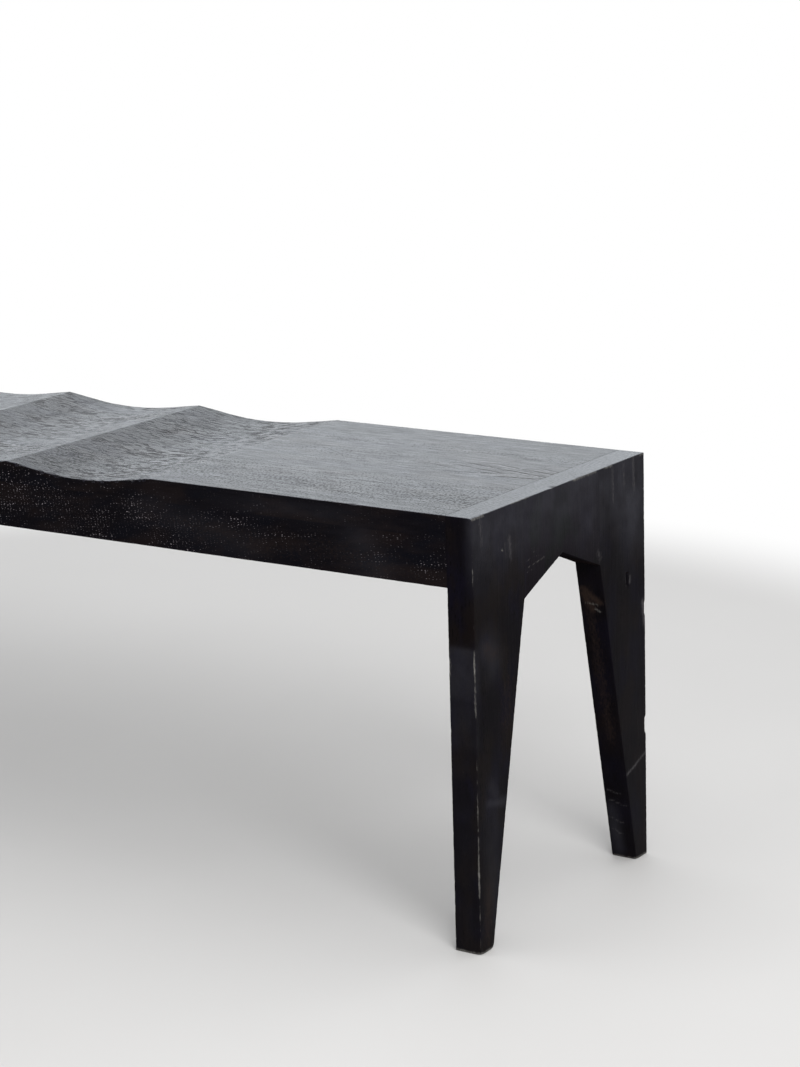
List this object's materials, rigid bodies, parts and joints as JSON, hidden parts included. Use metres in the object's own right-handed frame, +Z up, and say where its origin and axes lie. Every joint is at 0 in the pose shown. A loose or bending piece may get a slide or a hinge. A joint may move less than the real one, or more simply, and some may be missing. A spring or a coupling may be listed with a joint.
{
  "type": "bench",
  "caption": "Long backless wooden bench: a seat with shallow scoops between flat ends, deep edges, and end frames of tapered legs under an inverted V.",
  "frame": {"origin": "on the floor, under the middle of the bench", "axes": "+X along the length, +Y from the front edge to the back edge, +Z up"},
  "size_m": [1.6, 0.347, 0.455],
  "materials": {
    "black_stained_oak": "black stain and thin oil over planed, open-pored oak, satin, with grain running along each board",
    "black_stained_oak_underside": "black stain on sawn and lightly planed oak, matt",
    "beech_dowel": "bare turned beech, fine straight grain",
    "steel_screw": "bright zinc-plated steel"
  },
  "bodies": {
    "root": {"seat_board_front": "black_stained_oak", "seat_board_mid_front": "black_stained_oak", "seat_board_mid_back": "black_stained_oak", "seat_board_back": "black_stained_oak", "apron_front": "black_stained_oak", "apron_back": "black_stained_oak", "cross_rail_left": "black_stained_oak_underside", "cross_rail_centre": "black_stained_oak_underside", "cross_rail_right": "black_stained_oak_underside", "leg_front_right": "black_stained_oak", "leg_back_right": "black_stained_oak", "bridge_right": "black_stained_oak", "leg_front_left": "black_stained_oak", "leg_back_left": "black_stained_oak", "bridge_left": "black_stained_oak", "bridge_dowels_right": "beech_dowel", "bridge_dowels_left": "beech_dowel", "seat_dowels_right": "beech_dowel", "seat_dowels_left": "beech_dowel", "apron_dowels_right": "beech_dowel", "apron_dowels_left": "beech_dowel", "corner_block_front_right": "black_stained_oak_underside", "corner_block_back_right": "black_stained_oak_underside", "corner_block_front_left": "black_stained_oak_underside", "corner_block_back_left": "black_stained_oak_underside", "rail_screws": "steel_screw", "block_screws": "steel_screw"}
  },
  "joints": []
}
